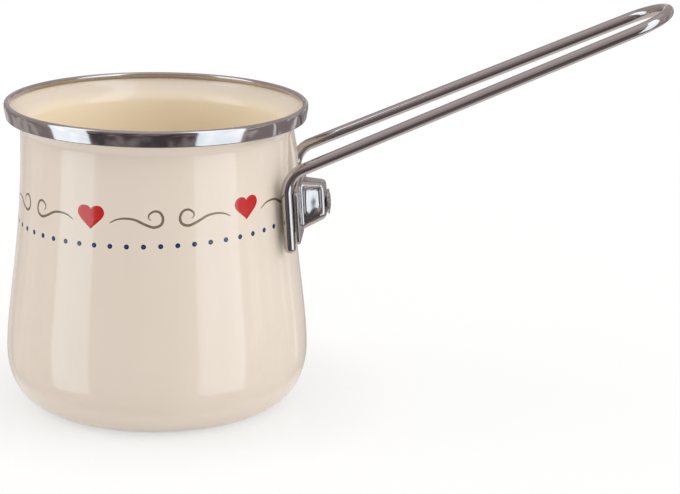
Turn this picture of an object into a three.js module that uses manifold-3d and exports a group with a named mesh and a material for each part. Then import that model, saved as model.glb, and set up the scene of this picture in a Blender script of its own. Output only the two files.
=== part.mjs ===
// Small enamelled coffee pot with a stainless rim ring and a hairpin wire handle.
// Millimetres, +Z up. The origin is the centre of the flat base, on the pot's axis,
// and the handle stands out along +X.
import * as THREE from 'three';
import { mergeVertices } from 'three/addons/utils/BufferGeometryUtils.js';
import Module from 'manifold-3d';

const wasm = await Module();
wasm.setup();

const degrees = THREE.MathUtils.degToRad;

// Fits
const seatGap = 0.3; // between pieces that rest on each other
const rimGap = 0.15; // between the pot's lip and the ring folded over it
const headGap = 0.1; // between the washer and the screw's head

// Pot body, drawn from one sheet and enamelled inside and out
const rimHeight = 97.6; // table to the top of the rim ring
const baseRadius = 37.5; // flat of the base
const bellyRadius = 48.7; // widest point
const bellyHeight = 16.7; // height of the widest point
const neckRadius = 43.05; // narrowest point, under the lip
const lipHeight = 9.1; // narrowest point to the top of the rim ring
const lipFlare = 4.45; // how far the lip stands out from the neck
const potWall = 0.8; // steel with enamel on both faces
const bellyHold = 15.3; // wall keeps upright above the belly, control length
const neckHold = 35; // wall keeps upright below the neck, control length
const flareStart = 2.5; // flare keeps upright above the neck, control length
const flareEnd = 2.6; // flare turns upright below the lip, control length

// Rim ring, a stainless band folded over the lip
const ringSheet = 0.35;
const ringBand = 5; // height of the outer band
const ringHook = 1.7; // height of the inner edge
const ringRound = 0.75; // outer radius of the two top edges
const ringTaper = 0.5; // outer band leans in towards its foot

// Bracket, a pressed hat that carries both legs of the wire
const bracketDrop = 32; // top of the rim ring to the bracket's screw
const bracketSheet = 1.1;
const flangeTop = 8.2; // screw to the flange's upper edge
const flangeBottom = 9.1; // screw to the flange's lower edge
const flangeReach = 0.9; // flange past the centre line of each leg
const flangeCorner = 1.8;
const hatBaseWidth = 11.5;
const hatBaseHeight = 15.7;
const hatTopWidth = 9;
const hatTopHeight = 11.4;
const hatDepth = 7.6; // flange to the hat's outer face
const hatDrop = 0.15; // base's middle below the screw
const hatLift = 0.95; // outer face's middle above the screw
const hatCorner = 2.4;
const hatEdge = 1.3; // rounding round the outer face
const hatFoot = 0.7; // rounding where the hat leaves the flange

// Pad, welded to the wall under the bracket and enamelled with the pot
const padWidth = 14;
const padThickness = 1.3; // under the bracket
const padBump = 1.3; // proud of the wall above the bracket
const padRimGap = 3.5; // pad's upper end to the rim ring's foot
const padCrest = 0.45; // proudest point, as a share of the way from the flange to the upper end
const padBevel = 0.5;

// Wire handle, one hairpin of round bar
const wireRadius = 1.86;
const legHalf = 18.6; // handle's middle to the centre of each leg
const legDrop = 9.9; // bracket's screw to the round end of each leg
const bendTuck = 0.75; // bend starts this far below the flange's upper edge
const bendRadius = 8;
const gripAngle = 24.1; // rise of the grip above the table, in degrees
const gripLength = 108.9; // bend to the centre of the end loop
const loopRadius = 12.8;

// Screw, washer and threaded boss
const screwRadius = 1.6;
const headRadius = 2.8;
const headHeight = 0.35;
const recessLength = 3;
const recessWidth = 0.65;
const recessDepth = 0.8;
const washerRadius = 4.05;
const washerThickness = 0.6;
const washerBevel = 0.15;
const screwTail = 1; // left free between the screw's end and the pad

// Facets
const potFacets = 64;
const roundFacets = 24;
const wireFacets = 12;

const enamel = () => new THREE.MeshStandardMaterial({ color: 0xece0cd, roughness: 0.12, metalness: 0 });
const stainless = () => new THREE.MeshStandardMaterial({ color: 0xc9c5c0, roughness: 0.14, metalness: 1 });
const zincSteel = () => new THREE.MeshStandardMaterial({ color: 0xb4b2ab, roughness: 0.35, metalness: 1 });

const point = (x, y) => new THREE.Vector2(x, y);

// A profile (radius, height) turned about the Z axis. It runs up the outside and down the inside.
function turn(profile, facets) {
  return new THREE.LatheGeometry(profile, facets).rotateX(Math.PI / 2);
}

// A profile (radius, distance) turned about the X axis.
function turnAboutX(profile, facets) {
  return new THREE.LatheGeometry(profile, facets).rotateZ(-Math.PI / 2);
}

// A closed geometry as a solid that can be joined and cut.
function solid(geometry) {
  const bare = geometry.clone();
  bare.deleteAttribute('normal');
  bare.deleteAttribute('uv');
  const merged = mergeVertices(bare, 1e-4);
  const corners = merged.index.array;
  const triangles = [];
  for (let i = 0; i < corners.length; i += 3) {
    const [a, b, c] = corners.slice(i, i + 3);
    if (a !== b && b !== c && c !== a) triangles.push(a, b, c);
  }
  return new wasm.Manifold(new wasm.Mesh({
    numProp: 3,
    vertProperties: new Float32Array(merged.attributes.position.array),
    triVerts: new Uint32Array(triangles),
  }));
}

function geometryOf(body) {
  const mesh = body.getMesh();
  const geometry = new THREE.BufferGeometry();
  geometry.setAttribute('position', new THREE.BufferAttribute(mesh.vertProperties, 3));
  geometry.setIndex(new THREE.BufferAttribute(mesh.triVerts, 1));
  geometry.computeVertexNormals();
  return geometry;
}

function piece(name, geometry, material) {
  const mesh = new THREE.Mesh(geometry, material);
  mesh.name = name;
  return mesh;
}

// The wall's outer line: a round corner, the swelling wall, the flare, and the upright lip inside the ring.
const neckHeight = rimHeight - lipHeight;
const bracketHeight = rimHeight - bracketDrop;
const lipTop = rimHeight - ringSheet - rimGap;
const lipRadius = neckRadius + lipFlare;
const lipFoot = rimHeight - ringHook;
const wallLine = [
  {
    steps: 7,
    curve: new THREE.EllipseCurve(
      baseRadius, bellyHeight,
      bellyRadius - baseRadius, bellyHeight,
      -Math.PI / 2, 0,
    ),
  },
  {
    steps: 9,
    curve: new THREE.CubicBezierCurve(
      point(bellyRadius, bellyHeight),
      point(bellyRadius, bellyHeight + bellyHold),
      point(neckRadius, neckHeight - neckHold),
      point(neckRadius, neckHeight),
    ),
  },
  {
    steps: 8,
    curve: new THREE.CubicBezierCurve(
      point(neckRadius, neckHeight),
      point(neckRadius, neckHeight + flareStart),
      point(lipRadius, lipFoot - flareEnd),
      point(lipRadius, lipFoot),
    ),
  },
  { steps: 1, curve: new THREE.LineCurve(point(lipRadius, lipFoot), point(lipRadius, lipTop)) },
];

// Points along the wall, set in from its outer face (or out from it where inset is negative).
function wallPoints(inset) {
  const points = [];
  for (const { curve, steps } of wallLine) {
    const first = points.length === 0 ? 0 : 1;
    for (let i = first; i <= steps; i++) {
      const onWall = curve.getPoint(i / steps);
      const along = curve.getTangent(i / steps);
      points.push(point(onWall.x - along.y * inset, onWall.y + along.x * inset));
    }
  }
  return points;
}

// Outer radius of the pot at a height above its belly.
function wallRadiusAt(height) {
  const points = wallPoints(0);
  const above = points.findIndex((p) => p.y >= height);
  const low = points[above - 1];
  const high = points[above];
  return THREE.MathUtils.mapLinear(height, low.y, high.y, low.x, high.x);
}

function potBody() {
  const profile = [
    point(0, 0),
    ...wallPoints(0),
    ...wallPoints(potWall).reverse(),
    point(0, potWall),
  ];
  return piece('pot_body', turn(profile, potFacets), enamel());
}

// The ring's section: inner edge, rounded top, leaning band, and a foot turned in under the flare.
function rimRing() {
  const inner = lipRadius - potWall - rimGap - ringSheet;
  const outer = lipRadius + rimGap + ringSheet;
  const foot = rimHeight - ringBand;
  const footOuter = outer - ringTaper;
  const hemEnd = wallRadiusAt(foot + ringSheet) + rimGap;
  const roundCentre = rimHeight - ringRound;
  const innerRound = ringRound - ringSheet;
  const section = new THREE.Shape();
  section.moveTo(hemEnd, foot);
  section.lineTo(footOuter - ringSheet / 2, foot);
  section.lineTo(footOuter, foot + ringSheet / 2);
  section.lineTo(outer, lipFoot);
  section.absarc(outer - ringRound, roundCentre, ringRound, 0, Math.PI / 2);
  section.absarc(inner + ringRound, roundCentre, ringRound, Math.PI / 2, Math.PI);
  section.lineTo(inner, lipFoot);
  section.lineTo(inner + ringSheet, lipFoot);
  section.absarc(inner + ringRound, roundCentre, innerRound, Math.PI, Math.PI / 2, true);
  section.absarc(outer - ringRound, roundCentre, innerRound, Math.PI / 2, 0, true);
  section.lineTo(outer - ringSheet, lipFoot);
  section.lineTo(footOuter - ringSheet, foot + ringSheet);
  section.lineTo(hemEnd, foot + ringSheet);
  section.closePath();
  return piece('rim_ring', turn(section.getPoints(2), potFacets), stainless());
}

// The handle's own frame lies on the wall: x out of the bracket, y across the legs, z up along them.
// Its origin is on the flange's inner face, level with the screw.
const wallLean = Math.atan2(
  wallRadiusAt(bracketHeight - flangeBottom) - wallRadiusAt(bracketHeight + flangeTop),
  flangeBottom + flangeTop,
);
const standOff = padThickness + 2 * seatGap;
const handleOrigin = new THREE.Vector3(wallRadiusAt(bracketHeight) + standOff, 0, bracketHeight);
const hatFace = bracketSheet + hatDepth;

// A pad cut to the wall's curve: flat under the bracket, swelling above it, then running out into the neck.
function handlePad() {
  const inside = -baseRadius / 2;
  const face = -seatGap;
  const top = bracketDrop - ringBand - padRimGap;
  const crest = THREE.MathUtils.lerp(flangeTop, top, padCrest);
  const crestOut = wallRadiusAt(bracketHeight + crest) + seatGap + padBump - handleOrigin.x;
  const topOut = wallRadiusAt(bracketHeight + top) - handleOrigin.x;
  const side = new THREE.Shape();
  side.moveTo(inside, -flangeBottom);
  side.lineTo(face + flangeBottom * Math.tan(wallLean), -flangeBottom);
  side.lineTo(face - flangeTop * Math.tan(wallLean), flangeTop);
  side.splineThru([
    point(crestOut, crest),
    point(topOut, top),
  ]);
  side.lineTo(inside, top);
  const slab = new THREE.ExtrudeGeometry(side, {
    depth: padWidth - 2 * padBevel,
    bevelSize: padBevel,
    bevelOffset: -padBevel,
    bevelThickness: padBevel,
    bevelSegments: 2,
    curveSegments: 5,
  });
  slab.translate(0, 0, padBevel - padWidth / 2);
  slab.rotateX(Math.PI / 2);
  slab.translate(handleOrigin.x, 0, handleOrigin.z);
  const wall = turn([point(0, 0), ...wallPoints(-seatGap), point(0, lipTop)], potFacets);
  return piece('handle_pad', geometryOf(solid(slab).subtract(solid(wall))), enamel());
}

// Points round a rectangle with round corners, across the legs and up along them.
function roundedRectangle(width, height, corner) {
  const turns = 4;
  const points = [];
  for (let quarter = 0; quarter < 4; quarter++) {
    const sideways = quarter === 0 || quarter === 3 ? 1 : -1;
    const upwards = quarter < 2 ? 1 : -1;
    for (let i = 0; i <= turns; i++) {
      const angle = (quarter + i / turns) * Math.PI / 2;
      points.push(point(
        sideways * (width / 2 - corner) + corner * Math.cos(angle),
        upwards * (height / 2 - corner) + corner * Math.sin(angle),
      ));
    }
  }
  return points;
}

// A skin through rounded rectangles stacked along x, closed at both ends.
function loft(sections) {
  const rings = sections.map(({ x, width, height, corner, lift }) => roundedRectangle(width, height, corner)
    .map((p) => [x, p.x, p.y + lift]));
  const count = rings[0].length;
  const last = rings.length - 1;
  const positions = rings.flat(2);
  const centres = [sections[0], sections[last]].map(({ x, lift }) => [x, 0, lift]);
  positions.push(...centres.flat());
  const backCentre = rings.length * count;
  const frontCentre = backCentre + 1;
  const index = [];
  for (let i = 0; i < count; i++) {
    const next = (i + 1) % count;
    for (let ring = 0; ring < last; ring++) {
      const here = ring * count;
      const there = here + count;
      index.push(here + i, here + next, there + next);
      index.push(here + i, there + next, there + i);
    }
    index.push(backCentre, next, i);
    index.push(frontCentre, last * count + i, last * count + next);
  }
  const geometry = new THREE.BufferGeometry();
  geometry.setAttribute('position', new THREE.Float32BufferAttribute(positions, 3));
  geometry.setIndex(index);
  return geometry;
}

// The hat's outline at a distance from the flange's inner face, grown or shrunk all round.
function hatSection(x, grow) {
  const share = (x - bracketSheet) / hatDepth;
  return {
    x,
    width: THREE.MathUtils.lerp(hatBaseWidth, hatTopWidth, share) + 2 * grow,
    height: THREE.MathUtils.lerp(hatBaseHeight, hatTopHeight, share) + 2 * grow,
    corner: Math.max(hatCorner + grow, hatEdge / 2),
    lift: THREE.MathUtils.lerp(-hatDrop, hatLift, share),
  };
}

// A flat flange with a drafted hat pressed out of its middle, hollow behind, and a hole for the screw.
function handleBracket() {
  const width = 2 * (legHalf + flangeReach);
  const height = flangeTop + flangeBottom;
  const flat = { width, height, corner: flangeCorner, lift: (flangeTop - flangeBottom) / 2 };
  const flange = loft([{ ...flat, x: 0 }, { ...flat, x: bracketSheet }]);
  const quarterTurns = [0, 1, 2, 3].map((i) => i * Math.PI / 6);
  const footSections = quarterTurns.map((angle) => hatSection(
    bracketSheet + hatFoot * (1 - Math.cos(angle)),
    hatFoot * (1 - Math.sin(angle)) / 2,
  ));
  const edgeSections = quarterTurns.map((angle) => hatSection(
    hatFace - hatEdge * (1 - Math.sin(angle)),
    -hatEdge * (1 - Math.cos(angle)),
  ));
  const outside = loft([hatSection(bracketSheet / 2, 0), ...footSections, ...edgeSections]);
  const inside = loft([
    hatSection(-bracketSheet, -bracketSheet),
    hatSection(hatFace - bracketSheet, -bracketSheet),
  ]);
  const holeRadius = screwRadius + seatGap;
  const hole = new THREE.CylinderGeometry(holeRadius, holeRadius, 4 * bracketSheet, roundFacets);
  hole.rotateZ(Math.PI / 2);
  hole.translate(hatFace, 0, 0);
  const pressed = solid(flange).add(solid(outside)).subtract(solid(inside)).subtract(solid(hole));
  return piece('handle_bracket', geometryOf(pressed), stainless());
}

// A tube welded to the pad inside the hat, threaded for the screw.
function threadedBoss() {
  const outer = hatTopWidth / 2 - bracketSheet - seatGap;
  const bore = screwRadius + seatGap;
  const back = 0;
  const front = hatFace - bracketSheet - seatGap;
  const profile = [
    point(bore, back),
    point(outer, back),
    point(outer, front),
    point(bore, front),
    point(bore, back),
  ];
  return piece('threaded_boss', turnAboutX(profile, roundFacets), zincSteel());
}

const washerBack = hatFace + seatGap;
const washerFront = washerBack + washerThickness;

function washer() {
  const bore = screwRadius + seatGap;
  const profile = [
    point(bore, washerBack),
    point(washerRadius, washerBack),
    point(washerRadius, washerFront - washerBevel),
    point(washerRadius - washerBevel, washerFront),
    point(bore, washerFront),
    point(bore, washerBack),
  ];
  return piece('washer', turnAboutX(profile, roundFacets), stainless());
}

// A screw with a low domed head and a cross recess.
function screw() {
  const headBack = washerFront + headGap;
  const dome = new THREE.EllipseCurve(0, headBack, headRadius, headHeight, 0, Math.PI / 2);
  const profile = [
    point(0, screwTail),
    point(screwRadius, screwTail),
    point(screwRadius, headBack),
    ...dome.getPoints(4),
  ];
  profile[profile.length - 1].x = 0;
  let body = solid(turnAboutX(profile, roundFacets));
  const headTop = headBack + headHeight;
  for (const [across, up] of [[recessLength, recessWidth], [recessWidth, recessLength]]) {
    const slot = new THREE.BoxGeometry(2 * recessDepth, across, up).translate(headTop, 0, 0);
    body = body.subtract(solid(slot));
  }
  return piece('screw', geometryOf(body), stainless());
}

// The wire's centre line: leg, bend, grip, end loop, and the same again backwards.
// Each section has its own number of steps, so straight runs stay coarse and bends stay fine.
class HairpinLine extends THREE.Curve {
  constructor(sections) {
    super();
    this.sections = sections;
    this.steps = sections.reduce((sum, section) => sum + section.steps, 0);
  }

  getPoint(t, target = new THREE.Vector3()) {
    let step = THREE.MathUtils.clamp(t, 0, 1) * this.steps;
    for (const { steps, at } of this.sections) {
      if (step <= steps) return target.copy(at(step / steps));
      step -= steps;
    }
    return target.copy(this.sections.at(-1).at(1));
  }

  getUtoTmapping(u) {
    return u;
  }
}

function wireHandle() {
  const legX = -wireRadius - seatGap;
  const bendStart = flangeTop - bendTuck;
  const rise = degrees(gripAngle) - wallLean;
  const bendTurn = Math.PI / 2 - rise;
  const bendPoint = (side, angle) => new THREE.Vector3(
    legX + bendRadius * (1 - Math.cos(angle)),
    side * legHalf,
    bendStart + bendRadius * Math.sin(angle),
  );
  const gripStart = bendPoint(0, bendTurn);
  const gripPoint = (along, across) => new THREE.Vector3(
    gripStart.x + along * Math.cos(rise),
    across,
    gripStart.z + along * Math.sin(rise),
  );
  // The legs close in on each other until they meet the loop's circle as tangents.
  const reach = Math.hypot(gripLength, legHalf);
  const closing = Math.acos(loopRadius / reach) - Math.atan2(gripLength, legHalf);
  const loopPoint = (angle) => gripPoint(
    gripLength + loopRadius * Math.cos(angle),
    loopRadius * Math.sin(angle),
  );
  const loopStart = Math.PI / 2 - closing;
  const legEnd = (side) => new THREE.Vector3(legX, side * legHalf, -legDrop);
  const between = (from, to) => (f) => from.clone().lerp(to, f);
  const line = new HairpinLine([
    { steps: 2, at: between(legEnd(1), bendPoint(1, 0)) },
    { steps: 7, at: (f) => bendPoint(1, f * bendTurn) },
    { steps: 4, at: between(bendPoint(1, bendTurn), loopPoint(loopStart)) },
    { steps: 16, at: (f) => loopPoint(loopStart * (1 - 2 * f)) },
    { steps: 4, at: between(loopPoint(-loopStart), bendPoint(-1, bendTurn)) },
    { steps: 7, at: (f) => bendPoint(-1, (1 - f) * bendTurn) },
    { steps: 2, at: between(bendPoint(-1, 0), legEnd(-1)) },
  ]);
  const section = new THREE.Shape().absarc(0, 0, wireRadius, 0, 2 * Math.PI);
  const bar = new THREE.ExtrudeGeometry(section, {
    steps: line.steps,
    curveSegments: wireFacets / 2,
    extrudePath: line,
  });
  let wire = solid(bar);
  for (const side of [1, -1]) {
    const end = new THREE.SphereGeometry(wireRadius, wireFacets, wireFacets / 2).rotateX(Math.PI / 2);
    end.translate(...legEnd(side).toArray());
    wire = wire.add(solid(end));
  }
  return piece('wire_handle', geometryOf(wire), stainless());
}

const handle = new THREE.Group();
handle.position.copy(handleOrigin);
handle.rotation.y = -wallLean;
handle.add(handleBracket(), wireHandle(), threadedBoss(), washer(), screw());

const coffeePot = new THREE.Group();
coffeePot.add(potBody(), rimRing(), handlePad(), handle);

export default coffeePot;
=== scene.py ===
"""Looks of a small enamelled coffee pot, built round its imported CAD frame.

The file is laid out as an add-on: sizes and colours are properties, each piece or group of pieces
has an operator, and one sidebar panel lists them. Everything is in metres, +Z is up, the handle
stands out along +X, and the origin is the middle of the flat base.
"""

import math

import bmesh
import bpy
from bpy.props import FloatProperty, FloatVectorProperty, IntProperty, PointerProperty
from mathutils import Matrix, Vector, noise


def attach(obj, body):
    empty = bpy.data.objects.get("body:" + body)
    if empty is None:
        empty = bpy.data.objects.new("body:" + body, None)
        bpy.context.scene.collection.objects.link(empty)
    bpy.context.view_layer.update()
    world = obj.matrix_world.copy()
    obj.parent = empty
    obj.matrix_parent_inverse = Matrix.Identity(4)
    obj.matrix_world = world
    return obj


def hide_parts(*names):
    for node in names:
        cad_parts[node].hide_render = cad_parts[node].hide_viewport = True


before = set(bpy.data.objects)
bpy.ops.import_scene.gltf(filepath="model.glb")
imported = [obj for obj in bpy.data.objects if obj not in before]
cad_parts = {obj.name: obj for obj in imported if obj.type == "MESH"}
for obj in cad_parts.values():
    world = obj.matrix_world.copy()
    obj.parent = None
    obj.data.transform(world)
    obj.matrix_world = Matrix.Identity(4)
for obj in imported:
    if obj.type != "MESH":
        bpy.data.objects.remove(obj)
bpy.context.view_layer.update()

bl_info = {
    "name": "Enamel Coffee Pot",
    "version": (1, 0, 0),
    "blender": (4, 5, 0),
    "location": "View3D > Sidebar > Coffee Pot",
    "description": "Builds the looks of an enamelled coffee pot round its CAD frame",
    "category": "Object",
}

MM = 0.001
MERGE = 0.0005 * MM  # points closer than this are one
WHITE = (1, 1, 1, 1)
BODY = "root"


def linear(hex_code):
    """Linear RGBA of an sRGB hex colour."""
    channels = [int(hex_code[i : i + 2], 16) / 255 for i in (1, 3, 5)]
    lit = [c / 12.92 if c <= 0.04045 else ((c + 0.055) / 1.055) ** 2.4 for c in channels]
    return (*lit, 1.0)


def length(name, description, millimetres):
    """A length property, given in millimetres."""
    return FloatProperty(
        name=name, description=description, default=millimetres * MM, unit="LENGTH", precision=5
    )


def angle(name, description, degrees):
    """An angle property, given in degrees."""
    return FloatProperty(
        name=name, description=description, default=math.radians(degrees), subtype="ANGLE"
    )


def count(name, description, default):
    """A whole number property."""
    return IntProperty(name=name, description=description, default=default, min=1, max=512)


def strength(name, description, default):
    """A brightness property, in which 1 is white."""
    return FloatProperty(name=name, description=description, default=default, min=0, max=10)


def colour(name, description, hex_code):
    """A colour property, given as an sRGB hex value."""
    return FloatVectorProperty(
        name=name, description=description, default=linear(hex_code), size=4, subtype="COLOR",
        min=0, max=1,
    )


class PotSizes(bpy.types.PropertyGroup):
    """Sizes of the drawn pot and of the ring folded over its lip."""

    rim_height: length("Rim height", "Table to the top of the rim ring", 97.6)
    base_radius: length("Base radius", "Flat of the base", 37.5)
    belly_radius: length("Belly radius", "Widest point of the wall", 48.7)
    belly_height: length("Belly height", "Height of the widest point", 16.7)
    neck_radius: length("Neck radius", "Narrowest point, under the lip", 43.05)
    lip_height: length("Lip height", "Narrowest point to the top of the ring", 9.1)
    lip_flare: length("Lip flare", "How far the lip stands out from the neck", 4.45)
    wall: length("Wall", "Steel with enamel on both faces", 0.8)
    belly_hold: length("Belly hold", "Wall keeps upright above the belly", 15.3)
    neck_hold: length("Neck hold", "Wall keeps upright below the neck", 35)
    flare_start: length("Flare start", "Flare keeps upright above the neck", 2.5)
    flare_end: length("Flare end", "Flare turns upright below the lip", 2.6)
    rim_gap: length("Rim gap", "Between the lip and the ring", 0.15)
    ring_sheet: length("Ring sheet", "Thickness of the ring's steel", 0.35)
    ring_band: length("Ring band", "Height of the ring's outer band", 5)
    ring_hook: length("Ring hook", "Height of the ring's inner edge", 1.7)
    ring_round: length("Ring round", "Radius of the ring's top edges", 0.75)
    ring_taper: length("Ring taper", "Band leans in towards its foot", 0.5)
    turn_steps: count("Turn steps", "Steps round the pot's axis", 256)


class HandleSizes(bpy.types.PropertyGroup):
    """Sizes of the pad, bracket, wire, washer and screw."""

    seat_gap: length("Seat gap", "Between pieces that rest on each other", 0.3)
    bracket_drop: length("Bracket drop", "Top of the rim ring to the bracket's screw", 32)
    bracket_sheet: length("Bracket sheet", "Thickness of the bracket's steel", 1.1)
    flange_top: length("Flange top", "Screw to the flange's upper edge", 8.2)
    flange_bottom: length("Flange bottom", "Screw to the flange's lower edge", 9.1)
    flange_reach: length("Flange reach", "Flange past the middle of each leg", 0.9)
    flange_corner: length("Flange corner", "Radius of the flange's corners", 1.8)
    flange_edge: length("Flange edge", "Rounding of the flange's cut edge", 0.3)
    hat_base_width: length("Hat base width", "Hat across the legs, at the flange", 11.5)
    hat_base_height: length("Hat base height", "Hat along the legs, at the flange", 15.7)
    hat_top_width: length("Hat top width", "Hat across the legs, at its face", 9)
    hat_top_height: length("Hat top height", "Hat along the legs, at its face", 11.4)
    hat_depth: length("Hat depth", "Flange to the hat's face", 7.6)
    hat_drop: length("Hat drop", "Base's middle below the screw", 0.15)
    hat_lift: length("Hat lift", "Face's middle above the screw", 0.95)
    hat_corner: length("Hat corner", "Radius of the hat's upright corners", 2.4)
    hat_dish: length("Hat dish", "How far the hat's sides are pressed out of flat", 0.85)
    hat_wave: length("Hat wave", "Unevenness of the hat's pressed sides", 0.2)
    hat_edge: length("Hat edge", "Rounding round the hat's face", 1.3)
    hat_foot: length("Hat foot", "Rounding where the hat leaves the flange", 0.7)
    pad_width: length("Pad width", "Pad across the legs", 14)
    pad_thickness: length("Pad thickness", "Pad under the bracket", 1.3)
    pad_bump: length("Pad bump", "Pad proud of the wall above the bracket", 1.3)
    pad_rim_gap: length("Pad rim gap", "Pad's upper end to the ring's foot", 3.5)
    pad_crest: FloatProperty(
        name="Pad crest", description="Proudest point, from the flange to the upper end",
        default=0.45, subtype="FACTOR", min=0, max=1,
    )
    wire_radius: length("Wire radius", "Round bar of the handle", 1.84)
    leg_half: length("Leg half", "Handle's middle to the middle of each leg", 18.6)
    leg_drop: length("Leg drop", "Screw to the round end of each leg", 9.9)
    bend_tuck: length("Bend tuck", "Bend starts below the flange's upper edge", 0.75)
    bend_radius: length("Bend radius", "Bend from the legs to the grip", 8)
    grip_angle: angle("Grip angle", "Rise of the grip above the table", 24.1)
    grip_length: length("Grip length", "Bend to the middle of the end loop", 108.9)
    loop_radius: length("Loop radius", "Loop at the grip's end", 12.8)
    screw_radius: length("Screw radius", "Shaft of the screw", 1.6)
    head_radius: length("Head radius", "Head of the screw", 2.8)
    head_height: length("Head height", "Dome of the screw's head", 0.35)
    head_gap: length("Head gap", "Between the washer and the screw's head", 0.1)
    recess_length: length("Recess length", "Cross recess from end to end", 3)
    recess_width: length("Recess width", "Width of the recess's arms", 0.65)
    recess_depth: length("Recess depth", "Depth of the cross recess", 0.8)
    screw_tail: length("Screw tail", "Free behind the end of the screw", 1)
    washer_radius: length("Washer radius", "Outside of the washer", 4.05)
    washer_thickness: length("Washer thickness", "Thickness of the washer", 0.6)
    washer_bevel: length("Washer bevel", "Rounding of the washer's edge", 0.15)


class PrintSizes(bpy.types.PropertyGroup):
    """Sizes of the printed hearts, scrolls and dotted line round the wall."""

    line_height: length("Line height", "Table to the dotted line", 61.8)
    tilt_out: length("Tilt at the handle", "Rise of the line towards the handle", 1.35)
    tilt_side: length("Tilt at the side", "Rise of the line towards the far side", 0.43)
    wrap_radius: length("Wrap radius", "Radius at which the print was laid out", 43.7)
    film: length("Film", "How far the fired print stands proud", 0.04)
    dot_radius: length("Dot radius", "Radius of a printed dot", 0.78)
    dot_step: angle("Dot step", "From one dot to the next", 6.7)
    dot_first: angle("First dot", "Where the dots start, on the near side", -27.2)
    dot_count: count("Dots", "Dots from leg to leg round the pot", 46)
    heart_first: angle("First heart", "Where the hearts start, on the near side", -43.5)
    heart_step: angle("Heart step", "From one heart to the next", 65.9)
    heart_count: count("Hearts", "Hearts round the pot", 5)
    stroke: length("Stroke", "Widest stroke of the scrolls", 0.85)


class Finishes(bpy.types.PropertyGroup):
    """Colours of the pot's materials."""

    enamel: colour("Enamel", "Cream enamel", "#DDD1C4")
    enamel_deep: colour("Deep enamel", "Cream enamel where it lies a little thicker", "#DACDBE")
    # Inside cream: partly the inside coat's own warmer colour, partly painted light, brighter to make up
    # for the light and bounce the deep inside lacks
    enamel_inside_and_light: colour("Inside enamel", "Cream enamel inside the pot", "#F4E5CA")
    steel: colour("Steel", "Polished stainless steel", "#C2BBB9")
    steel_dull: colour("Dull steel", "Stainless steel where the polish is thinner", "#B4ACAA")
    zinc: colour("Zinc", "Zinc plating", "#B4B2AB")
    red: colour("Red", "Printed hearts", "#BF1507")
    red_deep: colour("Deep red", "Printed hearts, denser print", "#AD0F06")
    blue: colour("Blue", "Printed dots, towards the rim", "#141F4A")
    blue_pale: colour("Pale blue", "Printed dots, in the middle", "#2C4680")
    brown: colour("Brown", "Printed scrolls", "#7F6C5C")
    brown_deep: colour("Deep brown", "Printed scrolls, denser print", "#705E50")


class StageSettings(bpy.types.PropertyGroup):
    """The camera, the floor and the studio light."""

    camera_place: FloatVectorProperty(
        name="Camera place", description="Where the camera stands", size=3, subtype="XYZ",
        unit="LENGTH", default=(0.08707, -0.61951, 0.2242),
    )
    heading: angle("Heading", "Camera's turn from looking along +Y, towards +X", -2.59)
    pitch: angle("Pitch", "Camera's tilt below the horizon", 15.59)
    roll: angle("Roll", "Camera's turn about its own line of sight", 1.2)
    lens: FloatProperty(
        name="Lens", description="Focal length on a 36 mm wide sensor", default=105.88, unit="CAMERA"
    )
    dome: strength("Dome", "Light from all round", 0.85)
    softbox: strength("Softbox", "Softboxes that the gloss and the steel mirror", 1.85)
    softbox_colour: colour("Softbox colour", "Cool daylight of the softboxes", "#E2F5FF")
    fill: strength("Fill", "Fill light on the left", 2.35)
    key: strength("Key", "Key light on the right", 2.1)
    floor_colour: colour("Floor", "Pale floor", "#F6F5F3")
    dark: colour("Dark", "Studio behind the camera", "#545053")
    dark_soft: colour("Soft dark", "Paler parts of the studio behind the camera", "#9C9496")
    side_left: colour("Left side", "Studio to the left", "#CBC4C2")
    side_right: colour("Right side", "Studio to the right", "#FFFFFF")
    wall: colour("Wall", "Studio walls above eye level", "#C0B8B6")
    ceiling: colour("Ceiling", "Studio ceiling", "#DAD4D6")
    table: colour("Table", "White table round the pot", "#F2EFEC")


def add(tree, kind, inputs=None, **settings):
    """Add a node to a tree, with its own settings and its inputs filled or linked.

    An input is a value, a socket, or a node, which stands for the first of its outputs in use.
    """
    made = tree.nodes.new(kind)
    for name, value in settings.items():
        setattr(made, name, value)
    for key, value in (inputs or {}).items():
        if isinstance(value, bpy.types.Node):
            value = next(socket for socket in value.outputs if socket.enabled)
        if isinstance(value, bpy.types.NodeSocket):
            tree.links.new(value, made.inputs[key])
        else:
            made.inputs[key].default_value = value
    return made


def keep(name, mesh):
    """Put a finished mesh in the scene, with its doubles merged and its faces pointing out."""
    work = bmesh.new()
    work.from_mesh(mesh)
    bmesh.ops.remove_doubles(work, verts=work.verts, dist=MERGE)
    bmesh.ops.dissolve_degenerate(work, edges=work.edges, dist=MERGE)
    bmesh.ops.recalc_face_normals(work, faces=work.faces)
    for face in work.faces:
        face.smooth = True
    work.to_mesh(mesh)
    work.free()
    mesh.name = name
    obj = bpy.data.objects.new(name, mesh)
    bpy.context.scene.collection.objects.link(obj)
    return obj


def piece(name, mesh, node=None):
    """Keep a mesh as a piece that rides on the pot, and that may stand for a CAD node."""
    obj = keep(name, mesh)
    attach(obj, BODY)
    if node:
        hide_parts(node)


def mesh_from(name, points, faces=(), edges=()):
    """A mesh from its points and its faces or edges."""
    mesh = bpy.data.meshes.new(name)
    mesh.from_pydata([tuple(p) for p in points], list(edges), list(faces))
    return mesh


def mark(mesh, **marks):
    """Store named values on the points of a mesh."""
    for label, values in marks.items():
        mesh.attributes.new(label, "FLOAT", "POINT").data.foreach_set("value", values)


def polyline(name, points, **marks):
    """A mesh of edges only, in the order of its points, with named values on them."""
    mesh = mesh_from(name, points, edges=[(i, i + 1) for i in range(len(points) - 1)])
    mark(mesh, **marks)
    return mesh


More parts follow.
